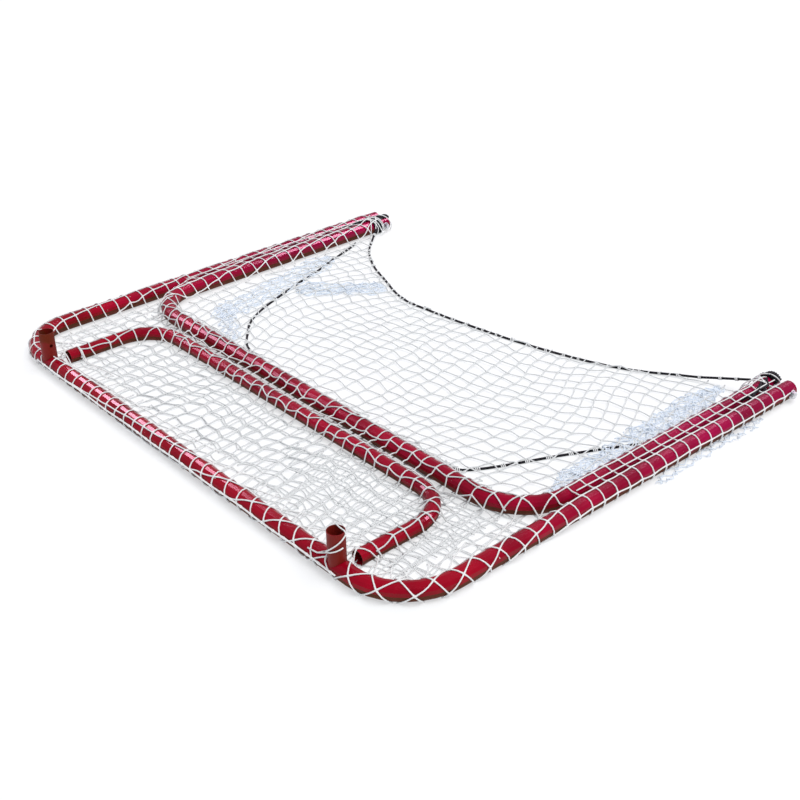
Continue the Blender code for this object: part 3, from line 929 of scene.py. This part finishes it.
def add_bunches(twine):
    """The slack netting pushed up beside the tubes."""
    inner = ARM_X - FRAME_R
    bar = CROSSBAR_Y
    for word, body, start, end, width, gathered, seed, high in (
        ("arm", "base_frame", (inner - 0.022, -0.10), (inner - 0.060, 0.50), 0.062, 7.0, 70, 0.008),
        ("bend", "base_frame", (-0.555, -0.06), (-0.36, -0.165), 0.050, 3.4, 80, 0.006),
        ("rear", "base_frame", (-0.490, bar + 0.680), (-0.338, bar + 0.862), 0.075, 4.6, 90, 0.007),
        ("side", "base_frame", (-0.495, bar + 0.43), (-0.596, bar + 0.89), 0.085, 3.4, 110, 0.006),
        ("post", "front_frame", (POST_X + 0.027, 0.09), (POST_X + 0.023, 0.45), 0.026, 2.6, 100, 0.006),
    ):
        add_bunch("net_bunch_" + word, body, start, end, width, gathered, seed, high, twine)


def add_hitches(twine):
    """Turns of twine that tie the netting to the ropes."""
    runs = []
    for name, pitch in (("rope_upper", 0.046), ("rope_lower_left", 0.050), ("rope_lower_right", 0.050)):
        route = np.array(ROPE_ROUTES[name])
        steps = np.linalg.norm(np.diff(route, axis=0), axis=1)
        at = np.concatenate([[0], np.cumsum(steps)])
        uneven = waves(120, 6, 0.4, 0.1)
        for middle in np.arange(0.03, at[-1] - 0.02, pitch):
            middle = middle + 0.008 * float(uneven(middle, 0.0))
            turn = np.linspace(0, 2 * math.pi * 2.5, 36)
            s = middle + (turn / turn[-1] - 0.5) * 0.0095
            centre = np.column_stack([np.interp(s, at, route[:, i]) for i in (0, 1, 2)])
            ahead = np.gradient(centre, axis=0)
            ahead /= np.linalg.norm(ahead, axis=1, keepdims=True)
            side = np.cross(ahead, (0, 0, 1))
            up = np.cross(side, ahead)
            out = np.cos(turn)[:, None] * up + np.sin(turn)[:, None] * side
            points = centre + out * (ROPE_R + 0.0010)
            points[:, 2] = np.maximum(points[:, 2], 0.0012)
            runs.append((points, out, np.full(len(turn), 0.80)))
    piece = strand_mesh("net_hitches", runs, TWINE_R, 5, twine)
    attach(piece, "base_frame")


# ---------------------------------------------------------------- ropes and lacing


def add_ropes(black):
    for name, route in ROPE_ROUTES.items():
        points = [tuple(point) for point in route]
        rope = strand_mesh("cord_" + name, [plain_run(points)], ROPE_R, 12, black)
        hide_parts(name)
        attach(rope, "base_frame")


def over_end(angle, way, stop, start):
    """A turn of rope that runs along the arm's top and over its end, at this angle round the arm."""
    reach = FRAME_R + ROPE_R + 0.0003
    out = np.array([reach] * 6 + [reach * 0.97, reach * 0.88, stop])
    lift = np.array([1.6, 0.6, 0, 0, 0, 0, 0, 0, 0]) * ROPE_R
    y = np.concatenate([np.linspace(start, ARM_END_Y, 6), ARM_END_Y + np.array((0.7, 1.05, 1.1)) * ROPE_R])
    side, up = way * math.sin(angle), math.cos(angle)
    points = np.column_stack([way * ARM_X + (out + lift) * side, y, FRAME_R + (out + lift) * up])
    return points, np.tile((side, 0.25, up), (len(y), 1)), np.ones(len(y))


def add_lashings(black):
    """Rope wound round each arm near its end, over the end, and back beside the post."""
    valley_side = math.radians(50)
    over_top = math.radians(205)
    whole_turn = 2 * math.pi
    for name, way, first, begin, stop, swing in (
        ("left", -1, -20, lashing_low.y + 0.016, HINGE_Y_LOW, whole_turn),
        ("right", 1, -45, ARM_END_Y - 0.0215, ARM_END_Y - 0.0095, over_top),
    ):
        turns = (stop - begin) / (2 * ROPE_R)
        reach = FRAME_R + ROPE_R + 0.0004
        runs = []
        for number in range(max(round(turns), 1)):
            turn = valley_side - np.linspace(0, swing, 30)
            x = way * (ARM_X + reach * np.sin(turn))
            z = np.maximum(FRAME_R + reach * np.cos(turn), ROPE_R + 0.0002)
            share = (number + 0.5) / turns + np.linspace(-0.25, 0.25, 30) / turns
            y = begin + (stop - begin) * share
            normals = np.column_stack([way * np.sin(turn), np.zeros(30), np.cos(turn)])
            runs.append((np.column_stack([x, y, z]), normals, np.ones(30)))
        strands_from = stop - 2 * ROPE_R if way < 0 else begin
        for number, degrees in enumerate(np.arange(first, 61, 14.5)):
            ends_at = (0.45, 0.62)[number % 2] * FRAME_R
            runs.append(over_end(math.radians(degrees), way, ends_at, strands_from))
        valley = way * BESIDE_POST
        for tail, start, sway in (
            (0.085, 0.0, 1.0),
            (0.075, 0.008, -1.2),
            (0.062, 0.014, 0.2),
            (0.054, 0.018, 1.7),
            (0.045, 0.022, -1.9),
        ):
            run_back = np.linspace(0, 1, 16)
            aside = 0.0034 * sway * np.sin(run_back * 5)
            left = (1 - run_back) ** 3
            tail_x = way * (ARM_X + 0.006) * left + valley * (1 - left) + aside
            tail_y = HINGE_Y_LOW - 0.026 + start - tail * run_back
            tail_z = FRAME_R + 0.0235 - 0.0085 * run_back - 0.0006 * tail / 0.05
            runs.append(plain_run(np.column_stack([tail_x, tail_y, tail_z])))
        piece = strand_mesh("lashing_" + name, runs, ROPE_R, 8, black)
        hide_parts("rope_lashing_" + name)
        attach(piece, "base_frame")


def add_end_ties(twine):
    """Uneven turns of twine that cross over each lashing and tie the netting down there."""
    reach = FRAME_R + 2 * ROPE_R + TWINE_R + 0.0006
    farthest = POST_X - FRAME_R - TWINE_R - 0.0005
    runs = []
    for way, ties in (
        (-1, (
            (0.512, 0.017), (0.522, -0.020), (0.533, 0.013), (0.541, -0.022), (0.540, 0.010), (0.562, 0.016),
        )),
        (1, ((0.518, 0.020), (0.533, -0.016), (0.560, 0.014))),
    ):
        for middle, slant in ties:
            turn = np.linspace(-2.0, 2.2, 30)
            x = way * ARM_X + reach * np.sin(turn)
            x = way * np.minimum(way * x, farthest)
            y = middle + slant * np.sin(turn * 0.9)
            z = np.maximum(FRAME_R + reach * np.cos(turn), TWINE_R)
            normals = np.column_stack([np.sin(turn), np.zeros(30), np.cos(turn)])
            runs.append((np.column_stack([x, y, z]), normals, np.ones(30)))
    piece = strand_mesh("net_end_ties", runs, TWINE_R, 6, twine)
    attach(piece, "base_frame")


def add_caught_loops(twine):
    """Meshes that have caught on the right-hand socket: over its mouth and round its front."""
    reach = SOCKET_R + TWINE_R + 0.0002
    runs = []
    for shift, drop in ((0.0, 0.0), (-0.5, 0.024)):
        around = np.radians(np.linspace(28, -150, 22)) + shift
        share = np.linspace(0, 1, 22)
        fall = SOCKET_TOP - 0.004 - drop - (SOCKET_TOP - 0.050 - drop) * share**1.15
        round_x, round_y = SOCKET_X + reach * np.cos(around), CROSSBAR_Y + reach * np.sin(around)
        side = np.column_stack([round_x, round_y, fall])
        out = np.column_stack([np.cos(around), np.sin(around), np.zeros(22)])
        foot = np.array(
            [(SOCKET_X - 0.040, CROSSBAR_Y - 0.014, 0.0355), (SOCKET_X - 0.066, CROSSBAR_Y - 0.016, 0.034)]
        )
        foot_out = np.tile((0.0, -0.5, 0.8), (2, 1))
        if drop:
            points, normals = np.concatenate([side, foot]), np.concatenate([out, foot_out])
        else:
            back = around[0] + np.radians((140, 132, 122))
            mouth = SOCKET_TOP + TWINE_R + 0.0003
            over = np.array(
                [(SOCKET_X + reach * math.cos(a), CROSSBAR_Y + reach * math.sin(a), z)
                 for a, z in zip(back, (0.052, 0.078, SOCKET_TOP - 0.003))]
                + [(SOCKET_X + SOCKET_R * right, CROSSBAR_Y + SOCKET_R * back_by, mouth)
                   for right, back_by in ((-0.78, 0.62), (0.05, 0.50), (0.80, 0.48))]
            )
            over_out = np.array(
                [(math.cos(a), math.sin(a), 0.0) for a in back[:2]] + [(-0.5, 0.4, 0.7)]
                + [(0.0, 0.0, 1.0)] * 2 + [(0.5, 0.3, 0.7)]
            )
            points = np.concatenate([over, side, foot])
            normals = np.concatenate([over_out, out, foot_out])
        runs.append((points, normals, np.ones(len(points))))
    piece = strand_mesh("net_caught", runs, TWINE_R, 6, twine)
    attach(piece, "front_frame")


def add_lacing(twine):
    """Twine along the crossbar's front, hitched at every mesh."""
    radius = (lacing_high.z - lacing_low.z) / 2
    y, z = (lacing_low.y + lacing_high.y) / 2, (lacing_low.z + lacing_high.z) / 2
    x = np.arange(lacing_low.x, lacing_high.x, MESH_BAR / 8)
    place = np.arange(len(x)) % 8
    swell = np.where(place == 0, 1.55, np.where((place == 1) | (place == 7), 1.15, 1.0))
    points = np.column_stack([x, np.full(len(x), y), z + 0.0012 * np.sin(x * 31)])
    run = (points, np.tile(UP, (len(x), 1)), swell)
    piece = strand_mesh("lacing", [run], radius, 8, twine)
    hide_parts("net_lacing")
    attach(piece, "net_lacing")


# ---------------------------------------------------------------- the scene


add_camera()
black = braided("black_rope", (0.002, 0.002, 0.003), (0.009, 0.010, 0.014), ROPE_R, 0.7, 0.0, 0.18)
add_ropes(black)
add_lashings(black)
twine = braided("white_twine", (0.82, 0.83, 0.84), (0.94, 0.94, 0.945), TWINE_R, 0.7, 0.15, 0.2)
# A darker copy of the white twine, painted grey as shade, for the netting that lies over the floor.
twine_painted_grey_shade = braided("twine_painted_grey_shade", (0.68, 0.70, 0.71), (0.83, 0.84, 0.85), TWINE_R, 0.7, 0.15, 0.2)
# A copy of the white twine tinted pale blue as painted shade, for the gathered netting in the bunches.
twine_painted_blue_shade = braided("twine_painted_blue_shade", (0.74, 0.83, 0.99), (0.87, 0.93, 1.0), FINE_TWINE_R, 0.7, 0.15, 0.2)
# The brown given to each paint is painted shade on faces turned down, and grime in the soiled patches.
finish_frame(red_paint(), red_paint("red_paint_soiled", 1.0, (0.150, 0.022, 0.006)), zinc_steel())
add_frame_net(twine)
add_cover(twine_painted_grey_shade)
add_under_layers(twine_painted_grey_shade)
add_bunches(twine_painted_blue_shade)
add_hitches(twine)
add_end_ties(twine)
add_caught_loops(twine)
add_lacing(twine)
add_studio()
